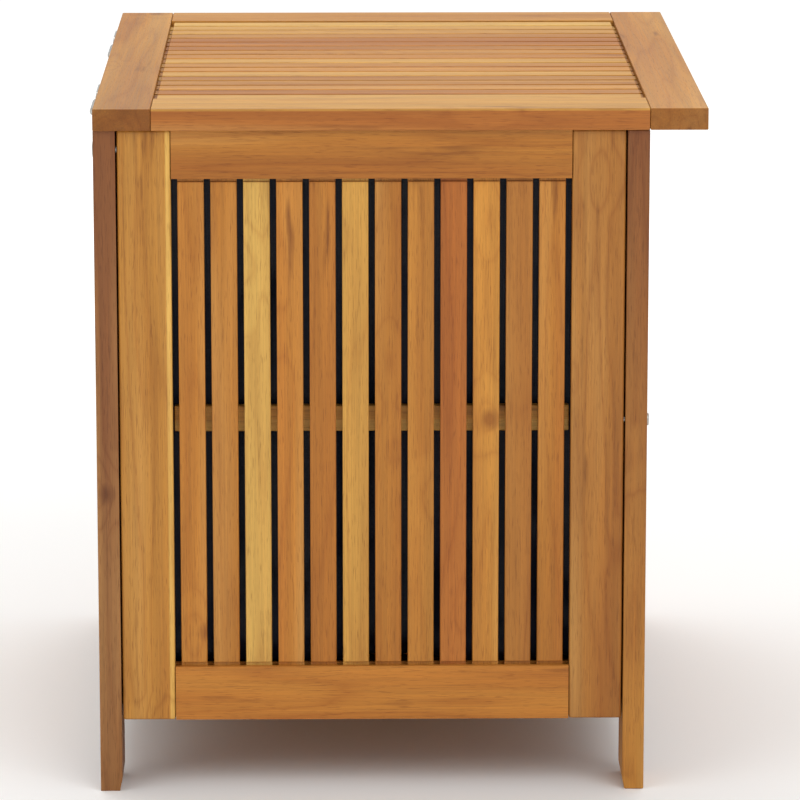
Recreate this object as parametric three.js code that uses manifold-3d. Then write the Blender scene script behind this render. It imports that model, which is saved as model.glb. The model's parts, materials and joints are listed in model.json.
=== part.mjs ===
// Slatted hardwood deck storage box with an overhanging hinged lid and a hung fabric liner.
// Millimetres, +Z up. The length runs along X, the front (where the lid overhangs) faces -Y and the
// hinges are at the rear, +Y. The origin is on the ground, under the middle of the whole box.

import * as THREE from 'three';
import { mergeVertices } from 'three/addons/utils/BufferGeometryUtils.js';
import Module from 'manifold-3d';

const wasm = await Module();
wasm.setup();

// Overall sizes
const height = 575;
const lidLength = 600;
const lidDepth = 500;
const board = 18; // thickness of every frame board
const gap = 0.3; // between pieces that touch

// Lid
const frontOverhang = 47;
const endOverhang = 4;
const longRailWidth = 47;
const shortRailWidth = 58.5;
const lidSlatCount = 18;
const lidSlatThickness = 17;
const lidShoulderGap = 3;
const lidBatten = { width: 40, thickness: 12, length: 524, spacing: 220 };

// Slats, in the lid and in all four walls
const slatWidth = 21.5;
const wallSlatThickness = 12;
const tongueThickness = 8;
const tongueDepth = 11;
const wallShoulderGap = 2.7;
const endSlatCount = 12;
const batten = { height: 21.5, thickness: 9.5, centre: 314, sunk: 0.5, endGap: 1 };

// Walls
const panelBottom = 61;
const topRailHeight = 40;
const bottomRailHeight = 45.5;
const stileWidth = 43.5;
const panelSideGap = 1.3; // between an end panel and the legs on both sides of it
const panelRecess = 1.5; // how far an end panel's face lies inside the legs' ends
const tenon = { length: 18, shoulder: 5 };
const footChamfer = { inset: 2, height: 10 };

// Floor
const cleat = { height: 18, depth: 18, endGap: 1.5, bottom: 68 };
const floorBoard = { count: 9, width: 50, gap: 12, thickness: 12, endGap: 1 };
const floorBatten = { width: 40, thickness: 8, spacing: 220, length: 540 };

// Hinges and frame bolts
const hinge = {
  offset: 168, // from the middle of the length
  length: 50,
  knuckleRadius: 3.4,
  axisBehind: 3.8,
  pinRadius: 1.5,
  pinHeadRadius: 2.4,
  pinHeadLength: 1,
  leafThickness: 1.5,
  bodyLeafHeight: 28,
  lidLeafHeight: 16,
};
const frontBolt = { z: 314, headRadius: 5, proud: 2.2, shankRadius: 3, depth: 41 };
const rearBolt = { z: 540, headRadius: 6.5, proud: 1.2, shankRadius: 3, depth: 41 };
const boltHoleSpare = 1; // how much deeper a bolt's hole is than the bolt
const roundSides = 24;

// Liner bag
const liner = {
  wall: 2,
  rim: 549,
  hemBottom: 522,
  hemGap: 1, // between the hem and the rails it is fixed to
  battenGap: 1,
  cornerRadius: 26,
  footRadius: 14,
  floorGap: 0.5,
};

// Places worked out from the sizes
const hingeProud = hinge.axisBehind + hinge.knuckleRadius;
const rear = (lidDepth - hingeProud) / 2;
const front = rear - lidDepth;
const bodyFront = front + frontOverhang;
const bodyTop = height - board - gap;
const bodyHalfLength = lidLength / 2 - endOverhang;
const legWidth = shortRailWidth - endOverhang;
const legCentreX = bodyHalfLength - legWidth / 2;
const openingLength = 2 * (bodyHalfLength - legWidth); // between the legs
const topRailLow = bodyTop - topRailHeight;
const lidClear = lidDepth - 2 * longRailWidth; // between the lid's long rails
const innerDepth = rear - bodyFront - 2 * board; // between the front and rear frames
const innerMiddle = (rear + bodyFront) / 2;
const panelWidth = innerDepth - 2 * panelSideGap;
const panelCentreX = bodyHalfLength - panelRecess - board / 2;
const panelInnerX = panelCentreX - board / 2;
const floorTop = cleat.bottom + cleat.height + gap + floorBoard.thickness;

// Materials
function surface(color, roughness, metalness = 0) {
  return new THREE.MeshStandardMaterial({ color, roughness, metalness });
}

const frameWood = surface(0xa06a3e, 0.55);
const slatWood = surface(0xb67a3e, 0.55);
const lidWood = surface(0xc08a52, 0.5);
const floorWood = surface(0x9a6a3c, 0.7);
const steel = surface(0xb4b4b0, 0.35, 1);
const fabric = surface(0x10131c, 0.8);

// Solids
function toSolid(geometry) {
  geometry.deleteAttribute('normal');
  geometry.deleteAttribute('uv');
  const merged = mergeVertices(geometry, 1e-4);
  return new wasm.Manifold(new wasm.Mesh({
    numProp: 3,
    vertProperties: new Float32Array(merged.attributes.position.array),
    triVerts: new Uint32Array(merged.index.array),
  }));
}

function toGeometry(solid) {
  const mesh = solid.getMesh();
  const geometry = new THREE.BufferGeometry();
  geometry.setAttribute('position', new THREE.BufferAttribute(mesh.vertProperties, 3));
  geometry.setIndex(new THREE.BufferAttribute(mesh.triVerts, 1));
  geometry.computeVertexNormals();
  return geometry;
}

// A box from its lowest to its highest corner.
function block(low, high) {
  const size = high.map((value, i) => value - low[i]);
  const geometry = new THREE.BoxGeometry(...size);
  return geometry.translate(...high.map((value, i) => (value + low[i]) / 2));
}

function join(first, ...others) {
  return toGeometry(others.reduce((all, next) => all.add(toSolid(next)), toSolid(first)));
}

function carve(blank, ...cutters) {
  return toGeometry(cutters.reduce((left, next) => left.subtract(toSolid(next)), toSolid(blank)));
}

// An outline of [y, z] points, extruded along X about x = centre.
function extrudeAlongX(outline, length, centre = 0) {
  const shape = new THREE.Shape(outline.map(([y, z]) => new THREE.Vector2(y, z)));
  const geometry = new THREE.ExtrudeGeometry(shape, { depth: length, bevelEnabled: false });
  const axes = new THREE.Matrix4().makeBasis(
    new THREE.Vector3(0, 1, 0),
    new THREE.Vector3(0, 0, 1),
    new THREE.Vector3(1, 0, 0),
  );
  return geometry.applyMatrix4(axes).translate(centre - length / 2, 0, 0);
}

// Round bars along Y and along X, from one place to another on that axis.
function rodAlongY(radius, x, z, from, to) {
  const geometry = new THREE.CylinderGeometry(radius, radius, to - from, roundSides);
  return geometry.translate(x, (from + to) / 2, z);
}

function rodAlongX(radius, from, to) {
  const geometry = new THREE.CylinderGeometry(radius, radius, to - from, roundSides);
  return geometry.rotateZ(Math.PI / 2).translate((from + to) / 2, 0, 0);
}

function piece(name, geometry, material, position = [0, 0, 0]) {
  const mesh = new THREE.Mesh(geometry, material.clone());
  mesh.name = name;
  mesh.position.set(...position);
  return mesh;
}

// Evenly spaced centres of slats that fill an opening, with the same gap at both ends.
function slatCentres(count, opening) {
  const space = (opening - count * slatWidth) / (count + 1);
  return Array.from({ length: count }, (_, i) => (
    -opening / 2 + space + slatWidth / 2 + i * (slatWidth + space)
  ));
}

// A wall's slats with the batten that is glued across their inner faces. Inside is +Y.
function wallGrille(count, opening) {
  const low = panelBottom + bottomRailHeight + wallShoulderGap;
  const high = bodyTop - topRailHeight - wallShoulderGap;
  const body = wallSlatThickness / 2;
  const tongue = tongueThickness / 2;
  const reach = wallShoulderGap + tongueDepth - gap;
  const outline = [
    [-body, low], [-tongue, low], [-tongue, low - reach], [tongue, low - reach],
    [tongue, low], [body, low], [body, high], [tongue, high],
    [tongue, high + reach], [-tongue, high + reach], [-tongue, high], [-body, high],
  ];
  const halfSpan = opening / 2 - batten.endGap;
  const inner = body - batten.sunk;
  const bar = block(
    [-halfSpan, inner, batten.centre - batten.height / 2],
    [halfSpan, inner + batten.thickness, batten.centre + batten.height / 2],
  );
  const slats = slatCentres(count, opening).map((x) => extrudeAlongX(outline, slatWidth, x));
  return join(bar, ...slats);
}

// A wall rail along X: a tenon on each end, and a groove for the slats' tongues along one edge.
function wallRail(low, railHeight, opening, grooveOnTop) {
  const half = board / 2;
  const cheek = tongueThickness / 2;
  const shoulderAt = opening / 2 - gap;
  const end = shoulderAt + tenon.length;
  const high = low + railHeight;
  const groove = cheek + gap;
  const grooveLow = grooveOnTop ? high - tongueDepth : low - 1;
  const grooveHigh = grooveOnTop ? high + 1 : low + tongueDepth;
  const cutters = [block([-shoulderAt, -groove, grooveLow], [shoulderAt, groove, grooveHigh])];
  for (const side of [-1, 1]) {
    const from = Math.min(side * shoulderAt, side * (end + 1));
    const to = Math.max(side * shoulderAt, side * (end + 1));
    cutters.push(
      block([from, -half - 1, low - 1], [to, -cheek, high + 1]),
      block([from, cheek, low - 1], [to, half + 1, high + 1]),
      block([from, -half, low - 1], [to, half, low + tenon.shoulder]),
      block([from, -half, high - tenon.shoulder], [to, half, high + 1]),
    );
  }
  return carve(block([-end, -half, low], [end, half, high]), ...cutters);
}

// The pocket that takes a rail's tenon, cut into the edge at x = edge of a leg or stile.
function mortise(edge, into, low, railHeight) {
  const depth = tenon.length + gap;
  const cheek = tongueThickness / 2 + gap;
  return block(
    [into > 0 ? edge - 1 : edge - depth, -cheek, low + tenon.shoulder - gap],
    [into > 0 ? edge + depth : edge + 1, cheek, low + railHeight - tenon.shoulder + gap],
  );
}

// A leg of the front or rear frame. Its outer face is -Y, and its rails are on the inward side.
function leg(inward, bolt) {
  const half = board / 2;
  const outline = [
    [-half, 0], [half - footChamfer.inset, 0], [half, footChamfer.height],
    [half, bodyTop], [-half, bodyTop],
  ];
  const edge = inward * legWidth / 2;
  const boltX = -inward * (panelCentreX - legCentreX);
  return carve(
    extrudeAlongX(outline, legWidth),
    mortise(edge, -inward, panelBottom, bottomRailHeight),
    mortise(edge, -inward, topRailLow, topRailHeight),
    rodAlongY(bolt.shankRadius + gap, boltX, bolt.z, -half - 1, half + 1),
  );
}

// A bolt that goes in through a leg's outer face, -Y, and on into an end panel's stile.
function boltShape({ headRadius, proud, shankRadius, depth }) {
  const face = -board / 2;
  const edge = proud / 3;
  const profile = [
    [0, face - proud], [headRadius - edge, face - proud], [headRadius, face - proud + edge],
    [headRadius, face - gap], [shankRadius, face - gap], [shankRadius, face + depth],
    [0, face + depth],
  ];
  return new THREE.LatheGeometry(profile.map(([r, y]) => new THREE.Vector2(r, y)), roundSides);
}

// The glued front or rear frame, with its outer face to -Y: two legs, two rails and a grille.
function frame(side, ends, bolt) {
  const group = new THREE.Group();
  ends.forEach((end, i) => {
    const inward = i === 0 ? 1 : -1;
    group.add(
      piece(`${side}_${end}_leg`, leg(inward, bolt), frameWood, [-inward * legCentreX, 0, 0]),
      piece(`${side}_${end}_bolt`, boltShape(bolt), steel, [-inward * panelCentreX, 0, bolt.z]),
    );
  });
  const topRail = wallRail(topRailLow, topRailHeight, openingLength, false);
  const bottomRail = wallRail(panelBottom, bottomRailHeight, openingLength, true);
  group.add(
    piece(`${side}_top_rail`, topRail, frameWood),
    piece(`${side}_bottom_rail`, bottomRail, frameWood),
    piece(`${side}_grille`, wallGrille(lidSlatCount, openingLength), slatWood),
  );
  return group;
}

// A stile of an end panel. Its rails are on the inward side and a bolt comes in at the other edge.
function stile(inward, bolt) {
  const half = stileWidth / 2;
  const holeDepth = bolt.depth - board - panelSideGap + boltHoleSpare;
  const outer = -inward * half;
  const hole = rodAlongX(
    bolt.shankRadius + gap,
    Math.min(outer - inward, outer + inward * holeDepth),
    Math.max(outer - inward, outer + inward * holeDepth),
  );
  return carve(
    block([-half, -board / 2, panelBottom], [half, board / 2, bodyTop]),
    mortise(inward * half, -inward, panelBottom, bottomRailHeight),
    mortise(inward * half, -inward, topRailLow, topRailHeight),
    hole.translate(0, 0, bolt.z),
  );
}

// An end panel, with its outer face to -Y: two stiles, two rails and a grille.
function endPanel(side, stiles) {
  const group = new THREE.Group();
  const opening = panelWidth - 2 * stileWidth;
  stiles.forEach(([place, bolt], i) => {
    const inward = i === 0 ? 1 : -1;
    const x = -inward * (panelWidth - stileWidth) / 2;
    group.add(piece(`${side}_${place}_stile`, stile(inward, bolt), frameWood, [x, 0, 0]));
  });
  const topRail = wallRail(topRailLow, topRailHeight, opening, false);
  const bottomRail = wallRail(panelBottom, bottomRailHeight, opening, true);
  group.add(
    piece(`${side}_top_rail`, topRail, frameWood),
    piece(`${side}_bottom_rail`, bottomRail, frameWood),
    piece(`${side}_grille`, wallGrille(endSlatCount, opening), slatWood),
  );
  return group;
}

// The floor: boards across the box, with two thin battens let in flush, lying loose on two cleats.
function floor() {
  const group = new THREE.Group();
  const cleatHalf = panelInnerX - cleat.endGap;
  for (const [side, y] of [['front', -1], ['rear', 1]]) {
    const geometry = block(
      [-cleatHalf, -cleat.depth / 2, cleat.bottom],
      [cleatHalf, cleat.depth / 2, cleat.bottom + cleat.height],
    );
    const at = y * (innerDepth / 2 - gap - cleat.depth / 2);
    group.add(piece(`${side}_cleat`, geometry, floorWood, [0, at, 0]));
  }
  const boardHalf = innerDepth / 2 - floorBoard.endGap;
  const boardLow = floorTop - floorBoard.thickness;
  const pitch = floorBoard.width + floorBoard.gap;
  const boards = Array.from({ length: floorBoard.count }, (_, i) => {
    const x = (i - (floorBoard.count - 1) / 2) * pitch;
    return block(
      [x - floorBoard.width / 2, -boardHalf, boardLow],
      [x + floorBoard.width / 2, boardHalf, floorTop],
    );
  });
  const battens = [-1, 1].map((side) => block(
    [
      -floorBatten.length / 2,
      (side * floorBatten.spacing - floorBatten.width) / 2,
      boardLow,
    ],
    [
      floorBatten.length / 2,
      (side * floorBatten.spacing + floorBatten.width) / 2,
      boardLow + floorBatten.thickness,
    ],
  ));
  group.add(piece('floor_grille', join(...battens, ...boards), floorWood));
  return group;
}

// A closed solid through level rings of the same number of points, listed from the bottom up.
function loft(rings) {
  const count = rings[0].length;
  const positions = rings.flat(2);
  const index = [];
  for (let level = 0; level < rings.length - 1; level += 1) {
    for (let i = 0; i < count; i += 1) {
      const a = level * count + i;
      const b = level * count + (i + 1) % count;
      index.push(a, b, b + count, a, b + count, a + count);
    }
  }
  const top = (rings.length - 1) * count;
  for (let i = 1; i < count - 1; i += 1) {
    index.push(0, i + 1, i, top, top + i, top + i + 1);
  }
  const geometry = new THREE.BufferGeometry();
  geometry.setAttribute('position', new THREE.Float32BufferAttribute(positions, 3));
  geometry.setIndex(index);
  return geometry;
}

// A level rectangle with rounded corners.
function ring(halfX, halfY, radius, z) {
  const turns = 5; // points round each corner
  return [[1, 1], [-1, 1], [-1, -1], [1, -1]].flatMap(([sideX, sideY], corner) => (
    Array.from({ length: turns }, (_, i) => {
      const angle = (corner + i / (turns - 1)) * Math.PI / 2;
      return [
        sideX * (halfX - radius) + radius * Math.cos(angle),
        sideY * (halfY - radius) + radius * Math.sin(angle),
        z,
      ];
    })
  ));
}

// The bag's shape: upright at the hem, drawn in to pass the battens, rounded at its foot.
function bagForm(wall, extraTop) {
  const battenInset = wallSlatThickness / 2 - batten.sunk + batten.thickness - board / 2;
  const draw = battenInset + liner.battenGap + wall;
  const foot = liner.footRadius;
  const bottom = floorTop + liner.floorGap + wall;
  const steps = [0, 1, 2, 3].map((step) => {
    const angle = step * Math.PI / 8;
    return [draw + foot * (1 - Math.sin(angle)), bottom + foot * (1 - Math.cos(angle))];
  });
  const levels = [
    ...steps,
    [draw, bottom + foot],
    [draw, batten.centre + batten.height],
    [liner.hemGap + wall, liner.hemBottom],
    [liner.hemGap + wall, liner.rim + extraTop],
  ];
  return loft(levels.map(([inset, z]) => (
    ring(panelInnerX - inset, innerDepth / 2 - inset, liner.cornerRadius - wall, z)
  )));
}

// A lid rail along the length, with a stopped groove in its inner edge. Inside is +Y times inward.
function longRail(inward) {
  const half = longRailWidth / 2;
  const grooveHalf = lidLength / 2 - tenon.shoulder + gap;
  const groove = tongueThickness / 2 + gap;
  const edge = inward * (half - tongueDepth - gap);
  const outer = inward * (half + 1);
  return carve(
    block([-lidLength / 2, -half, 0], [lidLength / 2, half, board]),
    block(
      [-grooveHalf, Math.min(edge, outer), board / 2 - groove],
      [grooveHalf, Math.max(edge, outer), board / 2 + groove],
    ),
  );
}

// A lid rail across an end, with a tenon at each end. The lid's outer end is -X times inward.
function shortRail(inward) {
  const half = shortRailWidth / 2;
  const shoulder = lidClear / 2 - gap;
  const end = lidClear / 2 + tongueDepth - gap;
  const cheek = tongueThickness / 2;
  const outer = -inward * (half - tenon.shoulder);
  const past = -inward * (half + 1);
  const cutters = [-1, 1].flatMap((side) => {
    const from = Math.min(side * shoulder, side * (end + 1));
    const to = Math.max(side * shoulder, side * (end + 1));
    return [
      block([-half - 1, from, -1], [half + 1, to, board / 2 - cheek]),
      block([-half - 1, from, board / 2 + cheek], [half + 1, to, board + 1]),
      block([Math.min(outer, past), from, -1], [Math.max(outer, past), to, board + 1]),
    ];
  });
  return carve(block([-half, -end, 0], [half, end, board]), ...cutters);
}

// A lid slat from front to rear, with a thin tongue at each end.
function lidSlat() {
  const body = lidClear / 2 - lidShoulderGap;
  const end = lidClear / 2 + tongueDepth - gap;
  const low = (board - tongueThickness) / 2;
  const high = (board + tongueThickness) / 2;
  const outline = [
    [-body, 0], [body, 0], [body, low], [end, low], [end, high], [body, high],
    [body, lidSlatThickness], [-body, lidSlatThickness], [-body, high], [-end, high],
    [-end, low], [-body, low],
  ];
  return extrudeAlongX(outline, slatWidth);
}

// The lid, about the middle of its underside.
function lidBoards() {
  const group = new THREE.Group();
  const railY = (lidDepth - longRailWidth) / 2;
  const railX = (lidLength - shortRailWidth) / 2;
  group.add(
    piece('lid_front_rail', longRail(1), lidWood, [0, -railY, 0]),
    piece('lid_rear_rail', longRail(-1), lidWood, [0, railY, 0]),
    piece('lid_left_rail', shortRail(1), lidWood, [-railX, 0, 0]),
    piece('lid_right_rail', shortRail(-1), lidWood, [railX, 0, 0]),
  );
  slatCentres(lidSlatCount, openingLength).forEach((x, i) => {
    const name = `lid_slat_${String(i + 1).padStart(2, '0')}`;
    group.add(piece(name, lidSlat(), lidWood, [x, 0, 0]));
  });
  const middle = innerMiddle - (rear - lidDepth / 2); // of the body's opening, in the lid
  for (const [side, place] of [[-1, 'front'], [1, 'rear']]) {
    const geometry = block(
      [-lidBatten.length / 2, -lidBatten.width / 2, -gap - lidBatten.thickness],
      [lidBatten.length / 2, lidBatten.width / 2, -gap],
    );
    const y = middle + side * lidBatten.spacing / 2;
    group.add(piece(`lid_${place}_batten`, geometry, lidWood, [0, y, 0]));
  }
  return group;
}

// One leaf of a hinge about its axis: a plate in front of the axis and the knuckles it carries.
function leaf(up, plateHeight, knuckles, notches) {
  const outer = gap - hinge.axisBehind;
  const clear = hinge.knuckleRadius + gap;
  const plate = block(
    [-hinge.length / 2, outer, up > 0 ? 0 : -plateHeight],
    [hinge.length / 2, outer + hinge.leafThickness, up > 0 ? plateHeight : 0],
  );
  const notchCuts = notches.map(([from, to]) => block([from, -clear, -clear], [to, clear, clear]));
  const rods = knuckles.map(([from, to]) => rodAlongX(hinge.knuckleRadius, from, to));
  const notched = carve(plate, ...notchCuts);
  const bore = rodAlongX(hinge.pinRadius + gap, -hinge.length, hinge.length);
  return carve(join(notched, ...rods), bore);
}

function hingePin() {
  const half = hinge.length / 2 + gap;
  const head = half + hinge.pinHeadLength;
  return join(
    rodAlongX(hinge.pinRadius, -head + gap, head - gap),
    rodAlongX(hinge.pinHeadRadius, -head, -half),
    rodAlongX(hinge.pinHeadRadius, half, head),
  );
}

const middleHalf = hinge.length / 6; // half of the middle knuckle
const outerKnuckles = [
  [-hinge.length / 2, -middleHalf - gap / 2],
  [middleHalf + gap / 2, hinge.length / 2],
];
const middleKnuckle = [[-middleHalf + gap / 2, middleHalf - gap / 2]];

function addHinge(body, lid, side, x) {
  const past = hinge.length; // cuts run out past the ends of the plate
  const bodyLeaf = leaf(-1, hinge.bodyLeafHeight, outerKnuckles, [
    [-middleHalf - gap / 2, middleHalf + gap / 2],
  ]);
  const lidLeaf = leaf(1, hinge.lidLeafHeight, middleKnuckle, [
    [-past, -middleHalf + gap / 2],
    [middleHalf - gap / 2, past],
  ]);
  body.add(
    piece(`${side}_hinge_body_leaf`, bodyLeaf, steel, [x, 0, 0]),
    piece(`${side}_hinge_pin`, hingePin(), steel, [x, 0, 0]),
  );
  lid.add(piece(`${side}_hinge_lid_leaf`, lidLeaf, steel, [x, 0, 0]));
}

// The whole box
const box = new THREE.Group();

const frontFrame = frame('front', ['left', 'right'], frontBolt);
frontFrame.position.set(0, bodyFront + board / 2, 0);

const rearFrame = frame('rear', ['right', 'left'], rearBolt);
rearFrame.position.set(0, rear - board / 2, 0);
rearFrame.rotation.z = Math.PI;

const leftPanel = endPanel('left', [['rear', rearBolt], ['front', frontBolt]]);
leftPanel.position.set(-panelCentreX, innerMiddle, 0);
leftPanel.rotation.z = -Math.PI / 2;

const rightPanel = endPanel('right', [['front', frontBolt], ['rear', rearBolt]]);
rightPanel.position.set(panelCentreX, innerMiddle, 0);
rightPanel.rotation.z = Math.PI / 2;

const inside = floor();
inside.add(piece('liner_bag', carve(bagForm(0, 0), bagForm(liner.wall, 1)), fabric));
inside.position.set(0, innerMiddle, 0);

// The fixed hinge parts and the lid are placed about the hinge axis.
const hingeMount = new THREE.Group();
hingeMount.position.set(0, rear + hinge.axisBehind, height - board);
const lid = new THREE.Group();
lid.position.copy(hingeMount.position);
const boards = lidBoards();
boards.position.set(0, -hinge.axisBehind - lidDepth / 2, 0);
lid.add(boards);
addHinge(hingeMount, lid, 'left', -hinge.offset);
addHinge(hingeMount, lid, 'right', hinge.offset);

box.add(frontFrame, rearFrame, leftPanel, rightPanel, inside, hingeMount, lid);

export default box;
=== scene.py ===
import json
import math
import random

import bmesh
import bpy
from mathutils import Matrix, Vector, noise

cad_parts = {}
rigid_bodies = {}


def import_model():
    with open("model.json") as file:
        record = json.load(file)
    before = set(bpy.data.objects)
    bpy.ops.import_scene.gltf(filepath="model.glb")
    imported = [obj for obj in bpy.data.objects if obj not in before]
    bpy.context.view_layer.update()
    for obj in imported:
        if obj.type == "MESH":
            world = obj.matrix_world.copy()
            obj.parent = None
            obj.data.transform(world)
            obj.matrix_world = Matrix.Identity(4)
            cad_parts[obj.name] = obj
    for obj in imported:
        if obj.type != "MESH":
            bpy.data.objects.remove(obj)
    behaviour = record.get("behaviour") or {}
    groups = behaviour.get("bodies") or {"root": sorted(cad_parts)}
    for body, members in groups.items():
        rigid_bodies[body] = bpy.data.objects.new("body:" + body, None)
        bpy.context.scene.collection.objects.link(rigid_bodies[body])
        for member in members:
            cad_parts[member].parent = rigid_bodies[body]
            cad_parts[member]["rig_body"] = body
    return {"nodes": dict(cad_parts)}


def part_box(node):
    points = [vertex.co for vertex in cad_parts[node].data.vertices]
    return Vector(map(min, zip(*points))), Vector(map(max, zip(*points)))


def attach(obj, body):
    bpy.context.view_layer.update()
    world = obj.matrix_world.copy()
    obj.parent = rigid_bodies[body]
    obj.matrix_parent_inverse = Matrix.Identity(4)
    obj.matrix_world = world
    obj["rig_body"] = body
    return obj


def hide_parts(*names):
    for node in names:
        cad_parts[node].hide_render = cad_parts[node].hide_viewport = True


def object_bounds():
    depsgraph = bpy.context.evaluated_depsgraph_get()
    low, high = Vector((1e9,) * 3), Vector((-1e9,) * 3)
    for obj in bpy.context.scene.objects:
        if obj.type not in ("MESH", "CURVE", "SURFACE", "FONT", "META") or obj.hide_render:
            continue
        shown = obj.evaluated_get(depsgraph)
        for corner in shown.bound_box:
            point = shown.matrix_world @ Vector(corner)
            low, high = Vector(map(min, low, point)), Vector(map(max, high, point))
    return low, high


# A slatted acacia deck box with a hinged lid and a hung liner bag. Sizes are in metres.

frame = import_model()
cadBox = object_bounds()
chance = random.Random(11)


# camera and studio

view = {
    "away": 3.941,  # from the near end to the camera
    "aboveLid": 0.5945,
    "inFromRear": 0.1953,  # from the lid's rear edge towards the front
    "aimInFromRear": 0.2495,
    "aimBelowLid": 0.2413,
    "lens": 221.0,
}

studio = {
    "floorRadius": 7.0,
    "floorColour": (0.94, 0.94, 0.93),
    "floorRoughness": 0.9,
    "floorGlow": (0.9, 2.3, 0.35),  # from, to and how much: the floor brightens to meet the white behind it
    "skyStrength": 0.62,
    "aim": (0, 0, 0.3),
    "lamps": [  # place, size, power
        ((-3.2, -1.6, 3.4), 3.0, 57),
        ((-2.6, 2.8, 2.4), 2.6, 26),
        ((1.4, 0.2, 3.6), 3.2, 70),
    ],
}


def makeCamera(v):
    lidTop = cadBox[1].z
    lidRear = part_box("lid_rear_rail")[1].y
    nearEnd = cadBox[0].x
    place = Vector((nearEnd - v["away"], lidRear - v["inFromRear"], lidTop + v["aboveLid"]))
    aim = Vector((nearEnd, lidRear - v["aimInFromRear"], lidTop - v["aimBelowLid"]))
    data = bpy.data.cameras.new("camera")
    data.lens = v["lens"]
    camera = bpy.data.objects.new("camera", data)
    camera.location = place
    camera.rotation_euler = (aim - place).to_track_quat("-Z", "Y").to_euler()
    bpy.context.scene.collection.objects.link(camera)
    bpy.context.scene.camera = camera


def makeStudio(s):
    # a pale floor that brightens away from the box
    bm = bmesh.new()
    bmesh.ops.create_circle(bm, cap_ends=True, segments=64, radius=s["floorRadius"])
    mesh = bpy.data.meshes.new("floor")
    bm.to_mesh(mesh)
    bm.free()
    floor = bpy.data.objects.new("floor", mesh)
    bpy.context.scene.collection.objects.link(floor)
    paint = bpy.data.materials.new("floorPaint")
    paint.use_nodes = True
    shader = paint.node_tree.nodes["Principled BSDF"]
    shader.inputs["Base Color"].default_value = (*s["floorColour"], 1)
    shader.inputs["Roughness"].default_value = s["floorRoughness"]
    nodes, link = paint.node_tree.nodes, paint.node_tree.links.new
    place, reach, glow = (nodes.new("ShaderNode" + kind) for kind in ("TexCoord", "VectorMath", "MapRange"))
    reach.operation = "LENGTH"
    link(place.outputs["Object"], reach.inputs[0])
    link(reach.outputs["Value"], glow.inputs["Value"])
    link(glow.outputs[0], shader.inputs["Emission Strength"])
    for label, value in zip(("From Min", "From Max", "To Max"), s["floorGlow"]):
        glow.inputs[label].default_value = value
    shader.inputs["Emission Color"].default_value = (1, 1, 1, 1)
    mesh.materials.append(paint)
    # the camera sees white behind the floor, and the box is lit by a softer sky
    world = bpy.data.worlds.new("sky")
    world.use_nodes = True
    tree = world.node_tree
    light = tree.nodes["Background"]
    light.inputs["Color"].default_value = (1, 1, 1, 1)
    light.inputs["Strength"].default_value = s["skyStrength"]
    paper = tree.nodes.new("ShaderNodeBackground")
    path = tree.nodes.new("ShaderNodeLightPath")
    mix = tree.nodes.new("ShaderNodeMixShader")
    tree.links.new(path.outputs["Is Camera Ray"], mix.inputs[0])
    tree.links.new(light.outputs[0], mix.inputs[1])
    tree.links.new(paper.outputs[0], mix.inputs[2])
    tree.links.new(mix.outputs[0], tree.nodes["World Output"].inputs["Surface"])
    paper.inputs["Color"].default_value = (1, 1, 1, 1)
    bpy.context.scene.world = world
    bpy.context.scene.view_settings.view_transform = "Standard"
    for i, (place, size, power) in enumerate(s["lamps"]):
        data = bpy.data.lights.new(f"lamp{i}", "AREA")
        data.size = size
        data.energy = power
        lamp = bpy.data.objects.new(f"lamp{i}", data)
        lamp.location = place
        lamp.rotation_euler = (Vector(s["aim"]) - Vector(place)).to_track_quat("-Z", "Y").to_euler()
        bpy.context.scene.collection.objects.link(lamp)


makeCamera(view)
makeStudio(studio)
print("camera and studio ready")


# shader helpers

def addNode(tree, kind, inputs=None, **settings):
    node = tree.nodes.new(kind)
    for name, value in settings.items():
        setattr(node, name, value)
    for key, value in (inputs or {}).items():
        if isinstance(value, bpy.types.NodeSocket):
            tree.links.new(value, node.inputs[key])
        else:
            node.inputs[key].default_value = value
    return node


def newGroup(name, inputs, outputs):
    tree = bpy.data.node_groups.new(name, "ShaderNodeTree")
    for label, kind, value in inputs:
        tree.interface.new_socket(label, in_out="INPUT", socket_type=kind).default_value = value
    for label, kind in outputs:
        tree.interface.new_socket(label, in_out="OUTPUT", socket_type=kind)
    return tree, tree.nodes.new("NodeGroupInput").outputs, tree.nodes.new("NodeGroupOutput")


def scaled(tree, vector, scale):
    return addNode(tree, "ShaderNodeVectorMath", {0: vector, 1: scale}, operation="MULTIPLY").outputs[0]


def noiseOf(tree, vector, detail=2.0, rough=0.5):
    values = {"Vector": vector, "Scale": 1.0, "Detail": detail, "Roughness": rough}
    return addNode(tree, "ShaderNodeTexNoise", values).outputs["Fac"]


def sums(tree, operation, a, b=0.5, clamp=False):
    return addNode(tree, "ShaderNodeMath", {0: a, 1: b}, operation=operation, use_clamp=clamp).outputs[0]


def remap(tree, value, fromLow, fromHigh, toLow, toHigh):
    values = {"Value": value, "From Min": fromLow, "From Max": fromHigh, "To Min": toLow, "To Max": toHigh}
    return addNode(tree, "ShaderNodeMapRange", values).outputs[0]


def mixed(tree, factor, a, b, blend="MIX"):
    node = addNode(tree, "ShaderNodeMix", data_type="RGBA", blend_type=blend)
    for socket, value in ((node.inputs[0], factor), (node.inputs[6], a), (node.inputs[7], b)):
        if isinstance(value, bpy.types.NodeSocket):
            tree.links.new(value, socket)
        else:
            socket.default_value = value
    return node.outputs[2]


def linear(r, g, b):  # an sRGB colour, 0 to 255, as the linear one that shaders take
    shares = (c / 255 for c in (r, g, b))
    return *(c / 12.92 if c <= 0.04045 else ((c + 0.055) / 1.055) ** 2.4 for c in shares), 1.0


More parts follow.
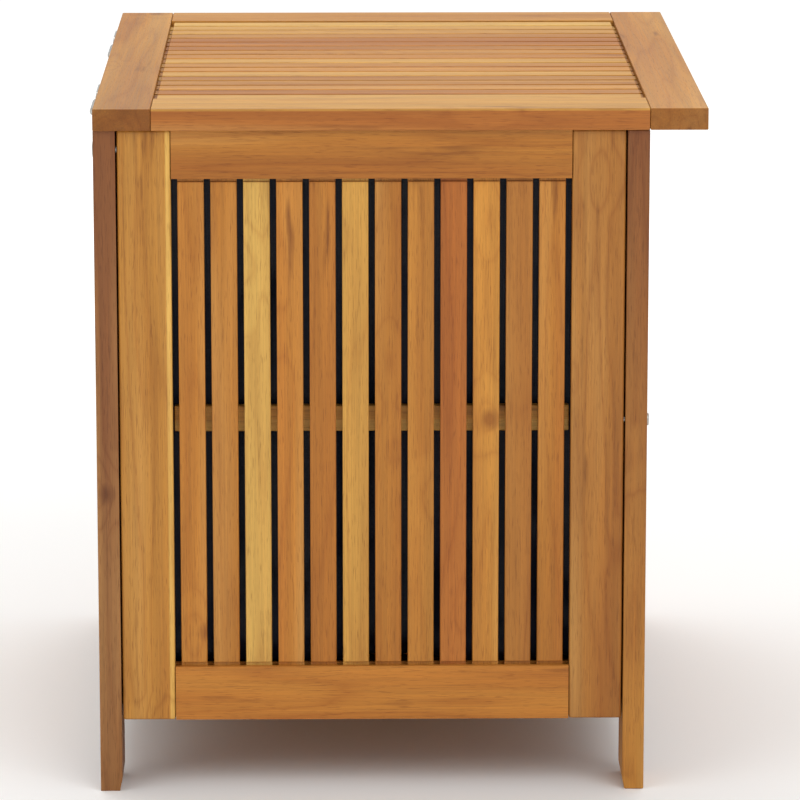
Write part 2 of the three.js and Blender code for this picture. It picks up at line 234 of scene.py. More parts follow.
def makeWoodGroup():
    # the grain runs along the first axis, so every pattern is stretched that way
    tree, given, out = newGroup("woodFigure", [
        ("Position", "NodeSocketVector", (0, 0, 0)),
        ("Colour", "NodeSocketColor", (0.4, 0.2, 0.08, 1)),
        ("End Grain", "NodeSocketFloat", 0.0),
        ("Rings", "NodeSocketFloat", 9.0),
        ("Ring Depth", "NodeSocketFloat", 0.5),
        ("Streaks", "NodeSocketFloat", 0.35),
        ("Pores", "NodeSocketFloat", 0.3),
        ("Heart", "NodeSocketFloat", 0.8),
    ], [("Colour", "NodeSocketColor"), ("Roughness", "NodeSocketFloat"), ("Height", "NodeSocketFloat")])
    place = given["Position"]
    spots = {"Vector": scaled(tree, place, (7.5, 9, 9)), "Scale": 1.0}
    knot = addNode(tree, "ShaderNodeTexVoronoi", spots).outputs[0]
    swirl = remap(tree, knot, 0.04, 0.30, 0.24, 0.0)
    bend = sums(tree, "ADD", noiseOf(tree, scaled(tree, place, (2.1, 30, 30)), 1.5), swirl)
    steps = sums(tree, "MULTIPLY", bend, given["Rings"])
    saw = sums(tree, "PINGPONG", steps, 0.5)
    late = sums(tree, "POWER", sums(tree, "MULTIPLY", saw, 2.0), 3.0)
    broad = noiseOf(tree, scaled(tree, place, (1.3, 26, 26)), 2.0)
    heart = noiseOf(tree, scaled(tree, place, (4.5, 48, 48)), 3.0, 0.65)
    band = noiseOf(tree, scaled(tree, place, (0.9, 75, 75)), 3.0, 0.6)
    fibre = noiseOf(tree, scaled(tree, place, (9, 820, 820)), 3.0, 0.65)
    fleck = noiseOf(tree, scaled(tree, place, (75, 1700, 1700)), 1.0)
    fleckMask = remap(tree, fleck, 0.60, 0.68, 0.0, 1.0)
    streak = remap(tree, broad, 0.46, 0.62, 0.0, 1.0)
    ringShare = sums(tree, "MULTIPLY", late, given["Ring Depth"])
    streakShare = sums(tree, "MULTIPLY", streak, given["Streaks"])
    heartShare = sums(tree, "MULTIPLY", remap(tree, heart, 0.63, 0.74, 0.0, 1.0), given["Heart"])
    poreShare = sums(tree, "MULTIPLY", fleckMask, given["Pores"])
    endShare = sums(tree, "MULTIPLY", given["End Grain"], 0.85)
    pale = remap(tree, broad, 0.30, 0.46, 1.0, 0.0)
    colour = mixed(tree, sums(tree, "MULTIPLY", pale, 0.30), given["Colour"], (0.66, 0.37, 0.11, 1))
    colour = mixed(tree, streakShare, colour, (0.66, 0.44, 0.34, 1), "MULTIPLY")
    colour = mixed(tree, ringShare, colour, (0.66, 0.50, 0.38, 1), "MULTIPLY")
    colour = mixed(tree, heartShare, colour, (0.38, 0.26, 0.20, 1), "MULTIPLY")
    knotShare = sums(tree, "MULTIPLY", remap(tree, knot, 0.03, 0.085, 0.9, 0.0), given["Heart"])
    colour = mixed(tree, knotShare, colour, (0.42, 0.27, 0.20, 1), "MULTIPLY")
    fibreTint = remap(tree, fibre, 0.30, 0.70, 0.87, 1.12)
    bandTint = remap(tree, band, 0.3, 0.7, 0.88, 1.12)
    tint = sums(tree, "MULTIPLY", fibreTint, bandTint)
    shade = addNode(tree, "ShaderNodeVectorMath", {0: colour, "Scale": tint}, operation="SCALE").outputs[0]
    colour = mixed(tree, poreShare, shade, (0.40, 0.28, 0.20, 1), "MULTIPLY")
    colour = mixed(tree, endShare, colour, (0.52, 0.40, 0.36, 1), "MULTIPLY")
    satin = remap(tree, fibre, 0.25, 0.75, 0.40, 0.56)
    dull = sums(tree, "ADD", satin, sums(tree, "MULTIPLY", given["End Grain"], 0.2))
    height = sums(tree, "SUBTRACT", sums(tree, "MULTIPLY", fibre, 0.6), poreShare)
    for label, value in (("Colour", colour), ("Roughness", dull), ("Height", height)):
        tree.links.new(value, out.inputs[label])
    return tree


woodGroup = makeWoodGroup()
woodLook = {"bump": 0.35, "relief": 0.0004, "gloss": 0.32}


def makeWood(name, figure):
    material = bpy.data.materials.new(name)
    material.use_nodes = True
    tree = material.node_tree
    shader = tree.nodes["Principled BSDF"]
    place = addNode(tree, "ShaderNodeAttribute", attribute_name="grain").outputs["Vector"]
    tone = addNode(tree, "ShaderNodeAttribute", attribute_name="tone").outputs["Color"]
    ends = addNode(tree, "ShaderNodeAttribute", attribute_name="endGrain").outputs["Fac"]
    group = addNode(tree, "ShaderNodeGroup", node_tree=woodGroup)
    for label, value in {"Position": place, "Colour": tone, "End Grain": ends}.items():
        tree.links.new(value, group.inputs[label])
    for label, value in figure.items():
        group.inputs[label].default_value = value
    bumped = {"Strength": woodLook["bump"], "Distance": woodLook["relief"]}
    bump = addNode(tree, "ShaderNodeBump", {"Height": group.outputs["Height"], **bumped})
    tree.links.new(group.outputs["Colour"], shader.inputs["Base Color"])
    tree.links.new(group.outputs["Roughness"], shader.inputs["Roughness"])
    tree.links.new(bump.outputs[0], shader.inputs["Normal"])
    shader.inputs["Specular IOR Level"].default_value = woodLook["gloss"]
    return material


figures = {  # rings, ring depth, streaks, pores
    "frame_wood": ("oiledFrameAcacia", (8.0, 0.45, 0.45, 0.4)),
    "slat_wood": ("oiledSlatAcacia", (6.0, 0.35, 0.35, 0.4)),
    "lid_wood": ("oiledLidAcacia", (8.0, 0.35, 0.35, 0.35)),
    "floor_wood": ("plainFloorAcacia", (9.0, 0.5, 0.4, 0.4)),
}
woods = {}
for slotName, (woodName, figure) in figures.items():
    woods[slotName] = makeWood(woodName, dict(zip(("Rings", "Ring Depth", "Streaks", "Pores"), figure)))

# the tones of the boards, from pale sapwood to dark heartwood
tones = {
    "golden": linear(182, 118, 44),
    "honey": linear(190, 130, 52),
    "straw": linear(214, 168, 84),
    "sand": linear(202, 150, 68),
    "red": linear(176, 106, 42),
    "brown": linear(166, 108, 44),
    "chestnut": linear(130, 80, 42),
    "tan": linear(182, 126, 54),
}
lidTones = ["sand", "honey", "honey", "sand", "honey", "straw", "golden", "sand", "tan"]
commonTones = ["golden", "honey", "golden", "sand", "red", "brown", "golden", "honey"]


# wooden pieces

boardLook = {
    "round": 0.0011,
    "fine": 0.0008,
    "arris": 0.0018,
    "roundSteps": 2,
    "sharpAngle": math.radians(30),
    "shortest": 0.005,  # shorter edges stay sharp
    "merge": 1e-5,
    "flatAngle": math.radians(1),
    "shades": (0.92, 1.08),
    "slope": 0.012,  # boards are never cut quite along the grain
    "treeReach": 3,  # boards are cut from anywhere within this distance
    "sapBlend": 0.0006,  # half the width over which a board's tone turns to the paler tone of a painted highlight
    # width of the pale strip painted along a stile's inner arris, a painted highlight
    "stileSapwood": 0.0042,
    # depth of the paler band painted over the top of the lid's near end rail: painted light on its top
    "lidSapwood": 0.0018,
}


def newBoards(source=None):
    bm = bmesh.new()
    if source:
        bm.from_mesh(source)
    bm.verts.layers.float_vector.new("grain")
    bm.verts.layers.float_color.new("tone")
    bm.faces.layers.float.new("endGrain")
    return bm


def markBoard(bm, verts, toneNames, along, litStrip=None):
    # the grain runs along one axis, from a random place in the tree, the tone may change end to end,
    # and the last argument gives the axis, place and side past which the board takes a paler tone, a painted
    # highlight
    grain = bm.verts.layers.float_vector["grain"]
    toneLayer = bm.verts.layers.float_color["tone"]
    ends = bm.faces.layers.float["endGrain"]
    first, last = tones[toneNames[0]], tones[toneNames[-1]]
    low = min(v.co[along] for v in verts)
    high = max(v.co[along] for v in verts)
    middle = sum((v.co for v in verts), Vector()) / len(verts)
    across = [axis for axis in range(3) if axis != along]
    reach, slope = boardLook["treeReach"], boardLook["slope"]
    shift = Vector([chance.uniform(-reach, reach) for axis in range(3)])
    shade = chance.uniform(*boardLook["shades"])
    turn = chance.uniform(-slope, slope)
    for v in verts:
        at = v.co - middle
        v[grain] = Vector((at[along], at[across[0]] + turn * at[along], at[across[1]])) + shift
        share = (v.co[along] - low) / (high - low)
        blend = [(a + (b - a) * share) * shade for a, b in zip(first, last)]
        # past the line the board takes the paler tone of a painted highlight
        if litStrip and (v.co[litStrip["axis"]] - litStrip["at"]) * litStrip["side"] > 0:
            blend = tones[litStrip["tone"]]
        v[toneLayer] = (*blend[:3], 1.0)
    for face in {face for v in verts for face in v.link_faces}:
        face[ends] = 1.0 if abs(face.normal[along]) > 0.7 else 0.0


def cutLitStrip(bm, litStrip, parts):
    # two cuts close together, so that the tone changes between them, to the paler tone of a painted highlight
    line, normal = Vector((0, 0, 0)), Vector((0, 0, 0))
    normal[litStrip["axis"]] = 1
    for offset in (-boardLook["sapBlend"], boardLook["sapBlend"]):
        line[litStrip["axis"]] = litStrip["at"] + offset
        cut = bmesh.ops.bisect_plane(bm, geom=parts, plane_co=line, plane_no=normal)
        parts = list({*cut["geom"], *cut["geom_cut"]})


def roundEdges(bm, edges, width=boardLook["round"]):
    made = bmesh.ops.bevel(bm, geom=list(edges), offset=width, offset_type="OFFSET", affect="EDGES",
                           segments=boardLook["roundSteps"], profile=0.5, material=-1, clamp_overlap=True)
    for face in made["faces"]:
        face.smooth = True


def finishPiece(name, bm, slotName, material, body, *nodes):
    bm.normal_update()
    mesh = bpy.data.meshes.new(name)
    bm.to_mesh(mesh)
    bm.free()
    for spare in ("custom_normal", "UVMap"):
        if spare in mesh.attributes:
            mesh.attributes.remove(mesh.attributes[spare])
    mesh.materials.clear()
    mesh.materials.append(material)
    piece = bpy.data.objects.new(name, mesh)
    bpy.context.scene.collection.objects.link(piece)
    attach(piece, body)
    if nodes:
        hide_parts(*nodes)
    return piece


def camel(node):
    first, *rest = node.split("_")
    return first + "".join(word.capitalize() for word in rest)


def dressBoard(node, toneNames, along, slotName, width=boardLook["round"], litStrip=None):
    bm = newBoards(frame["nodes"][node].data)
    bmesh.ops.remove_doubles(bm, verts=bm.verts, dist=boardLook["merge"])
    bmesh.ops.dissolve_limit(bm, angle_limit=boardLook["flatAngle"], verts=bm.verts, edges=bm.edges)
    for face in bm.faces:
        face.smooth = False
    roundEdges(bm, [
        e for e in bm.edges
        if len(e.link_faces) == 2 and e.is_convex and e.calc_length() > boardLook["shortest"]
        and e.calc_face_angle(0) > boardLook["sharpAngle"]
    ], width)
    if litStrip:
        cutLitStrip(bm, litStrip, bm.verts[:] + bm.edges[:] + bm.faces[:])
    bm.normal_update()
    markBoard(bm, list(bm.verts), toneNames, along, litStrip)
    body = frame["nodes"][node]["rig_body"]
    return finishPiece(camel(node), bm, slotName, woods[slotName], body, node)


def addBoard(bm, low, high, toneNames, along, width=boardLook["round"], litStrip=None):
    old = set(bm.verts)
    middle, size = (Vector(low) + Vector(high)) / 2, Vector(high) - Vector(low)
    bmesh.ops.create_cube(bm, size=1.0, matrix=Matrix.Translation(middle) @ Matrix.Diagonal((*size, 1)))
    fresh = [v for v in bm.verts if v not in old]
    roundEdges(bm, {e for v in fresh for e in v.link_edges}, width)
    if litStrip:
        board = [v for v in bm.verts if v not in old]
        parts = {part for v in board for part in (v, *v.link_edges, *v.link_faces)}
        cutLitStrip(bm, litStrip, list(parts))
    bm.normal_update()
    markBoard(bm, [v for v in bm.verts if v not in old], toneNames, along, litStrip)


def addSlat(bm, low, high, across, tongueWidth, reach, toneNames):
    # an upright slat with a thin tongue at each end; across is the axis of its width
    old, oldFaces = set(bm.verts), set(bm.faces)
    deep = 1 - across
    middle = (low[deep] + high[deep]) / 2
    lowZ, highZ = low.z + reach, high.z - reach
    thin = (middle - tongueWidth / 2, middle + tongueWidth / 2)
    outline = [
        (low[deep], lowZ), (thin[0], lowZ), (thin[0], low.z), (thin[1], low.z), (thin[1], lowZ),
        (high[deep], lowZ), (high[deep], highZ), (thin[1], highZ), (thin[1], high.z), (thin[0], high.z),
        (thin[0], highZ), (low[deep], highZ),
    ]
    corners = []
    for depth, z in outline:
        place = Vector((0, 0, z))
        place[across], place[deep] = low[across], depth
        corners.append(bm.verts.new(place))
    side = bm.faces.new(corners)
    pushed = bmesh.ops.extrude_face_region(bm, geom=[side])
    push = Vector((0, 0, 0))
    push[across] = high[across] - low[across]
    moved = [g for g in pushed["geom"] if isinstance(g, bmesh.types.BMVert)]
    bmesh.ops.translate(bm, verts=moved, vec=push)
    bmesh.ops.recalc_face_normals(bm, faces=[f for f in bm.faces if f not in oldFaces])
    edges = {e for v in bm.verts if v not in old for e in v.link_edges}
    outer = (low[deep], high[deep])
    roundEdges(bm, [
        e for e in edges
        if all(min(abs(v.co[deep] - o) for o in outer) < boardLook["merge"] for v in e.verts)
    ])
    bm.normal_update()
    markBoard(bm, [v for v in bm.verts if v not in old], toneNames, 2)


# the boards that are one CAD node each: tone from one end to the other, and the axis of the grain
singleBoards = {
    "rear_left_leg": (["chestnut"], 2), "front_left_leg": (["honey", "chestnut"], 2),
    "rear_right_leg": (["brown"], 2), "front_right_leg": (["golden", "red"], 2),
    "left_rear_stile": (["honey"], 2), "left_front_stile": (["brown", "brown"], 2),
    "right_rear_stile": (["golden"], 2), "right_front_stile": (["honey", "golden"], 2),
    "left_top_rail": (["golden"], 1), "left_bottom_rail": (["golden"], 1),
    "right_top_rail": (["honey"], 1), "right_bottom_rail": (["brown"], 1),
    "front_top_rail": (["golden", "honey"], 0), "front_bottom_rail": (["golden"], 0),
    "rear_top_rail": (["brown", "golden"], 0), "rear_bottom_rail": (["honey"], 0),
}
# these two stiles get a pale straw strip along the inner arris, which is a painted highlight
highlightedStiles = {"left_rear_stile": (0, -1), "right_front_stile": (1, 1)}  # the box corner and the side
for node, (toneNames, along) in singleBoards.items():
    litStrip = None
    if node in highlightedStiles:
        corner, side = highlightedStiles[node]
        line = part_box(node)[corner].y - side * boardLook["stileSapwood"]
        # the pale straw strip is a painted highlight along the stile's inner arris
        litStrip = {"axis": 1, "at": line, "side": side, "tone": "straw"}
    width = boardLook["arris"] if "stile" in node else boardLook["round"]
    dressBoard(node, toneNames, along, "frame_wood", width, litStrip)

lidBoards = {
    "lid_front_rail": (["tan"], 0), "lid_rear_rail": (["tan", "honey"], 0),
    "lid_left_rail": (["red"], 1), "lid_right_rail": (["honey"], 1),
    "lid_front_batten": (["golden"], 0), "lid_rear_batten": (["brown"], 0),
}
for node, (toneNames, along) in lidBoards.items():
    litStrip = None
    if node == "lid_left_rail":
        # the top of this rail is painted sand, paler than its red sides: painted light on the top
        litStrip = {"axis": 2, "at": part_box(node)[1].z - boardLook["lidSapwood"], "side": 1, "tone": "sand"}
    dressBoard(node, toneNames, along, "lid_wood", boardLook["fine"], litStrip)
for node in sorted(n for n in frame["nodes"] if n.startswith("lid_slat_")):
    dressBoard(node, [chance.choice(lidTones)], 1, "lid_wood", boardLook["fine"])
for node in ("front_cleat", "rear_cleat"):
    dressBoard(node, ["brown"], 0, "floor_wood")

grilles = {
    "slatWidth": 0.0215,
    "slatThickness": 0.012,
    "tongueWidth": 0.008,
    "reach": 0.0134,  # from a slat's shoulder to the end of its tongue
    "battenHeight": 0.0215,
    "battenZ": 0.314,
    "battenThickness": 0.009,
    "battenEndGap": 0.001,
    # under the batten's middle it is painted paler straw than its upper half: painted light below, painted
    # shade above
    "battenSapwood": 0.001,  # below the batten's middle
    "walls": {  # slats, axis of their spacing, outer side, the pieces on both sides
        "front": (18, 0, -1, "front_left_leg", "front_right_leg"),
        "rear": (18, 0, 1, "rear_left_leg", "rear_right_leg"),
        "left": (12, 1, -1, "left_front_stile", "left_rear_stile"),
        "right": (12, 1, 1, "right_front_stile", "right_rear_stile"),
    },
    "nearEnd": [  # the left end's slats, from the front
        "golden", "brown", "honey", "red", "honey", "golden", "sand", "golden", "golden", "straw",
        "golden", "golden",
    ],
}


def makeGrille(g, wall):
    count, across, out, lowSide, highSide = g["walls"][wall]
    deep = 1 - across
    low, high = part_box(f"{wall}_grille")
    start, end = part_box(lowSide)[1][across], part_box(highSide)[0][across]
    space = (end - start - count * g["slatWidth"]) / (count + 1)
    outer = low[deep] if out < 0 else high[deep]
    inner = outer - out * g["slatThickness"]
    bm = newBoards()
    for i in range(count):
        at = start + space + i * (g["slatWidth"] + space)
        slatLow, slatHigh = low.copy(), high.copy()
        slatLow[across], slatHigh[across] = at, at + g["slatWidth"]
        slatLow[deep], slatHigh[deep] = min(outer, inner), max(outer, inner)
        tone = g["nearEnd"][i] if wall == "left" else chance.choice(commonTones)
        addSlat(bm, slatLow, slatHigh, across, g["tongueWidth"], g["reach"], [tone])
    battenLow, battenHigh = low.copy(), high.copy()
    battenLow[across], battenHigh[across] = start + g["battenEndGap"], end - g["battenEndGap"]
    far = inner - out * g["battenThickness"]
    battenLow[deep], battenHigh[deep] = min(inner, far), max(inner, far)
    battenLow.z, battenHigh.z = g["battenZ"] - g["battenHeight"] / 2, g["battenZ"] + g["battenHeight"] / 2
    # the batten's lower half is painted paler than its upper half: painted light below, painted shade above
    litStrip = {"axis": 2, "at": g["battenZ"] - g["battenSapwood"], "side": -1, "tone": "straw"}
    addBoard(bm, battenLow, battenHigh, ["sand"], across, litStrip=litStrip)
    finishPiece(f"{wall}Slats", bm, "slat_wood", woods["slat_wood"], "body", f"{wall}_grille")


for wall in grilles["walls"]:
    makeGrille(grilles, wall)

flooring = {
    "boards": 9,
    "width": 0.050,
    "battenWidth": 0.040,
    "battenThickness": 0.008,
    "battenLength": 0.540,
    "battenDrop": 0.0003,  # below the boards' undersides
    "spacing": 0.220,
}


def makeFloor(f):
    low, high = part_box("floor_grille")
    pitch = (high.x - low.x - f["width"]) / (f["boards"] - 1)
    bm = newBoards()
    for i in range(f["boards"]):
        x = low.x + i * pitch
        addBoard(bm, (x, low.y, low.z), (x + f["width"], high.y, high.z), [chance.choice(commonTones)], 1)
    middle = (low.y + high.y) / 2
    for side in (-1, 1):
        y = middle + side * f["spacing"] / 2
        nearLow = (-f["battenLength"] / 2, y - f["battenWidth"] / 2, low.z - f["battenDrop"])
        farHigh = (f["battenLength"] / 2, y + f["battenWidth"] / 2, low.z + f["battenThickness"])
        addBoard(bm, nearLow, farHigh, ["brown"], 0)
    finishPiece("floorBoards", bm, "floor_wood", woods["floor_wood"], "body", "floor_grille")


makeFloor(flooring)
print("wood ready")


# metal and cloth materials

def makeMetalGroup():
    tree, given, out = newGroup("wornMetal", [
        ("Position", "NodeSocketVector", (0, 0, 0)),
        ("Colour", "NodeSocketColor", (0.6, 0.6, 0.6, 1)),
        ("Roughness", "NodeSocketFloat", 0.35),
        ("Tarnish", "NodeSocketFloat", 0.3),
    ], [("Colour", "NodeSocketColor"), ("Roughness", "NodeSocketFloat"), ("Height", "NodeSocketFloat")])
    cloud = noiseOf(tree, scaled(tree, given["Position"], (180, 180, 180)), 3.0, 0.6)
    scratch = noiseOf(tree, scaled(tree, given["Position"], (90, 2600, 2600)), 2.0)
    stain = sums(tree, "MULTIPLY", remap(tree, cloud, 0.42, 0.66, 0.0, 1.0), given["Tarnish"])
    colour = mixed(tree, stain, given["Colour"], (0.52, 0.50, 0.46, 1), "MULTIPLY")
    rough = sums(tree, "ADD", given["Roughness"], remap(tree, scratch, 0.3, 0.7, -0.07, 0.07))
    dull = sums(tree, "ADD", rough, sums(tree, "MULTIPLY", stain, 0.25))
    height = sums(tree, "ADD", sums(tree, "MULTIPLY", scratch, 0.4), cloud)
    for label, value in (("Colour", colour), ("Roughness", dull), ("Height", height)):
        tree.links.new(value, out.inputs[label])
    return tree


metalGroup = makeMetalGroup()
metalLook = {"bump": 0.15, "relief": 0.0002}


def makeMetal(name, colour, roughness, tarnish):
    material = bpy.data.materials.new(name)
    material.use_nodes = True
    tree = material.node_tree
    shader = tree.nodes["Principled BSDF"]
    place = addNode(tree, "ShaderNodeTexCoord").outputs["Object"]
    group = addNode(tree, "ShaderNodeGroup", node_tree=metalGroup)
    tree.links.new(place, group.inputs["Position"])
    group.inputs["Colour"].default_value = colour
    group.inputs["Roughness"].default_value = roughness
    group.inputs["Tarnish"].default_value = tarnish
    bumped = {"Strength": metalLook["bump"], "Distance": metalLook["relief"]}
    bump = addNode(tree, "ShaderNodeBump", {"Height": group.outputs["Height"], **bumped})
    tree.links.new(group.outputs["Colour"], shader.inputs["Base Color"])
    tree.links.new(group.outputs["Roughness"], shader.inputs["Roughness"])
    tree.links.new(bump.outputs[0], shader.inputs["Normal"])
    shader.inputs["Metallic"].default_value = 1.0
    return material


zinc = makeMetal("zincPlatedSteel", linear(196, 196, 192), 0.34, 0.35)
screwSteel = makeMetal("screwSteel", linear(150, 144, 130), 0.28, 0.7)


# fasteners and hinges

screwLook = {
    "headRadius": 0.0032,
    "crown": 0.0008,
    "neck": (0.45, -0.55),  # radius and height, as shares of the head's radius
    "arcAngles": (0.0, 0.4, 0.8, 1.2, math.pi / 2),
    "steps": 24,
    "slotWidth": 0.0010,
    "slotLength": 0.0040,
    "slotDepth": 0.0012,
}
boltLook = {
    "crown": 0.0008,
    "arcAngles": (0.0, 0.5, 0.9, 1.25, math.pi / 2),
    "seat": 0.0003,  # the head stands this far off the leg
    "shank": 0.45,  # of the head's radius
    "socketRadius": 0.0022,
    "socketDepth": 0.0016,
    "steps": 40,
}


def shapeOf(bm):
    mesh = bpy.data.meshes.new("shape")
    bm.to_mesh(mesh)
    bm.free()
    return mesh


def cutOut(bm, *cutters):
    # boolean cuts, applied, which give the cut shape back as a mesh
    holder = bpy.data.objects.new("holder", shapeOf(bm))
    tools = [bpy.data.objects.new("tool", shapeOf(cutter)) for cutter in cutters]
    for o in (holder, *tools):
        bpy.context.scene.collection.objects.link(o)
    for tool in tools:
        cut = holder.modifiers.new("cut", "BOOLEAN")
        cut.operation, cut.object, cut.solver = "DIFFERENCE", tool, "EXACT"
    bpy.context.view_layer.update()
    cutShape = holder.evaluated_get(bpy.context.evaluated_depsgraph_get())
    mesh = bpy.data.meshes.new_from_object(cutShape)
    for o in (holder, *tools):
        bpy.data.objects.remove(o)
    return mesh


def spunHead(profile, steps):
    # a profile of (radius, height) points spun about Z
    bm = bmesh.new()
    verts = [bm.verts.new((r, 0, z)) for r, z in profile]
    edges = [bm.edges.new(pair) for pair in zip(verts, verts[1:])]
    bmesh.ops.spin(bm, geom=verts + edges, angle=math.tau, steps=steps, axis=(0, 0, 1), cent=(0, 0, 0),
                   use_merge=True)
    bmesh.ops.remove_doubles(bm, verts=bm.verts, dist=1e-6)
    bmesh.ops.recalc_face_normals(bm, faces=bm.faces)
    return bm


def screwShape(look):
    r, crown = look["headRadius"], look["crown"]
    neckRadius, neckEnd = (r * share for share in look["neck"])
    arc = [(r * math.sin(a), crown * math.cos(a)) for a in look["arcAngles"]]
    bm = spunHead(arc + [(neckRadius, neckEnd), (0.0, neckEnd)], look["steps"])
    bars = []
    for turn in (0, math.pi / 2):
        size = Matrix.Diagonal((look["slotLength"], look["slotWidth"], look["slotDepth"] * 2, 1))
        place = Matrix.Translation((0, 0, crown)) @ Matrix.Rotation(turn, 4, "Z")
        bars.append(bmesh.new())
        bmesh.ops.create_cube(bars[-1], size=1.0, matrix=place @ size)
    return cutOut(bm, *bars)


def boltShape(look, radius, proud, length):
    rim = proud - look["crown"]
    bend = [(radius * math.sin(a), rim + look["crown"] * math.cos(a)) for a in look["arcAngles"]]
    shank, seat = radius * look["shank"], look["seat"]
    bm = spunHead(bend + [(radius, seat), (shank, seat), (shank, -length), (0.0, -length)], look["steps"])
    cutter = bmesh.new()
    socket = look["socketRadius"]
    bmesh.ops.create_cone(cutter, cap_ends=True, segments=6, radius1=socket, radius2=socket,
                          depth=look["socketDepth"] * 2, matrix=Matrix.Translation((0, 0, proud)))
    return cutOut(bm, cutter)


screwMesh = screwShape(screwLook)


def addCopy(bm, mesh, place):
    verts = [bm.verts.new(place @ v.co) for v in mesh.vertices]
    for polygon in mesh.polygons:
        bm.faces.new([verts[i] for i in polygon.vertices]).smooth = polygon.use_smooth


def addShape(bm, mesh, place, facing):
    # puts a copy of a shape whose head faces +Z at a place, facing a direction
    turn = Vector(facing).to_track_quat("Z", "Y").to_matrix().to_4x4()
    spin = Matrix.Rotation(chance.uniform(0, math.tau), 4, "Z")
    addCopy(bm, mesh, Matrix.Translation(place) @ turn @ spin)


def makeBolts():
    for side, face in (("front", -1), ("rear", 1)):
        for end in ("left", "right"):
            node = f"{side}_{end}_bolt"
            low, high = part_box(node)
            radius = (high.x - low.x) / 2
            legLow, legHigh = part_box(f"{side}_{end}_leg")
            surface = legLow.y if face < 0 else legHigh.y
            tip = high.y if face < 0 else low.y
            proud = abs((low.y if face < 0 else high.y) - surface)
            bm = bmesh.new()
            shape = boltShape(boltLook, radius, proud, abs(tip - surface))
            middle = (low + high) / 2
            addShape(bm, shape, (middle.x, surface, middle.z), (0, face, 0))
            finishPiece(camel(node), bm, "zinc_steel", zinc, "body", node)


makeBolts()

hinges = {
    "leafThickness": 0.0015,
    "knuckleRadius": 0.0034,
    "gap": 0.0003,
    "overlap": 0.0002,  # of the strips that join a leaf to its knuckles
    "cornerRadius": 0.003,
    "edge": 0.00025,
    "knuckleEdge": 0.0003,
    "pinRadius": 0.0015,
    "pinEnd": 0.0009,
    "pinHead": [(0.0, 0.0), (0.0014, -0.0001), (0.0024, -0.0007), (0.0024, -0.001), (0.0, -0.001)],
    "screwInset": 0.009,  # from a leaf's ends
    "screwRows": {"body_leaf": (0.45, 0.78), "lid_leaf": (0.6,)},  # from the knuckle, in leaf heights
}


def addKnuckle(bm, h, start, end, y, z):
    old = set(bm.verts)
    turn = Matrix.Translation(((start + end) / 2, y, z)) @ Matrix.Rotation(math.pi / 2, 4, "Y")
    radius = h["knuckleRadius"]
    bmesh.ops.create_cone(bm, cap_ends=True, segments=40, radius1=radius, radius2=radius, depth=end - start,
                          matrix=turn)
    fresh = [v for v in bm.verts if v not in old]
    rims = {e for v in fresh for e in v.link_edges if abs(e.verts[0].co.x - e.verts[1].co.x) < 1e-6}
    for face in {f for v in fresh for f in v.link_faces}:
        face.smooth = len(face.verts) == 4
    roundEdges(bm, rims, h["knuckleEdge"])


def makeHinge(h, side):
    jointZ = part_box("lid_rear_rail")[0].z
    for part, up, body in (("body_leaf", -1, "body"), ("lid_leaf", 1, "lid")):
        node = f"{side}_hinge_{part}"
        low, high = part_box(node)
        axisY = high.y - h["knuckleRadius"]
        bm = bmesh.new()
        start = jointZ if up > 0 else low.z
        end = high.z if up > 0 else jointZ
        low.x, high.x = (corner.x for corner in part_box(f"{side}_hinge_body_leaf"))  # both leaves are as wide
        third = (high.x - low.x) / 3
        clear = h["knuckleRadius"] + h["gap"]
        size = Vector((high.x - low.x, h["leafThickness"], end - start - clear))
        middle = Vector((low.x + high.x, 2 * low.y + h["leafThickness"], start + end + up * clear)) / 2
        bmesh.ops.create_cube(bm, size=1.0, matrix=Matrix.Translation(middle) @ Matrix.Diagonal((*size, 1)))
        farZ = end if up > 0 else start
        corners = [e for e in bm.edges if abs(e.verts[0].co.y - e.verts[1].co.y) > 1e-4
                   and abs(e.verts[0].co.z - farZ) < 1e-5]
        bmesh.ops.bevel(bm, geom=corners, offset=h["cornerRadius"], affect="EDGES", segments=5, profile=0.5,
                        material=-1)
        roundEdges(bm, [e for e in bm.edges if e.calc_face_angle(0) > 0.6], h["edge"])
        spans = [(low.x, low.x + third - h["gap"] / 2), (high.x - third + h["gap"] / 2, high.x)]
        if up > 0:
            spans = [(low.x + third + h["gap"] / 2, high.x - third - h["gap"] / 2)]
        for a, b in spans:
            place = Matrix.Translation(((a + b) / 2, middle.y, jointZ + up * clear / 2))
            size = Matrix.Diagonal((b - a, h["leafThickness"], clear + h["overlap"], 1))
            bmesh.ops.create_cube(bm, size=1.0, matrix=place @ size)
            addKnuckle(bm, h, a, b, axisY, jointZ)
        screws = bmesh.new()
        rows = h["screwRows"][part]
        for share in rows:
            z = jointZ + up * share * (end - start)
            places = [low.x + h["screwInset"], (low.x + high.x) / 2, high.x - h["screwInset"]]
            if share != rows[-1]:
                del places[1]  # only the row farthest from the knuckle has a middle screw
            for x in places:
                addShape(screws, screwMesh, (x, low.y + h["leafThickness"], z), (0, 1, 0))
        finishPiece(camel(node), bm, "zinc_steel", zinc, body, node)
        finishPiece(camel(node) + "Screws", screws, "zinc_steel", screwSteel, body)
    low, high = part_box(f"{side}_hinge_pin")
    bm = bmesh.new()
    middle = (low + high) / 2
    for x, facing in ((low.x, -1), (high.x, 1)):
        head = spunHead(h["pinHead"], screwLook["steps"])
        addShape(bm, shapeOf(head), (x, middle.y, middle.z), (facing, 0, 0))
    pin = {**h, "knuckleRadius": h["pinRadius"]}
    addKnuckle(bm, pin, low.x + h["pinEnd"], high.x - h["pinEnd"], middle.y, middle.z)
    finishPiece(camel(f"{side}_hinge_pin"), bm, "zinc_steel", zinc, "body", f"{side}_hinge_pin")


for side in ("left", "right"):
    makeHinge(hinges, side)
print("hinges and bolts ready")


# the liner bag

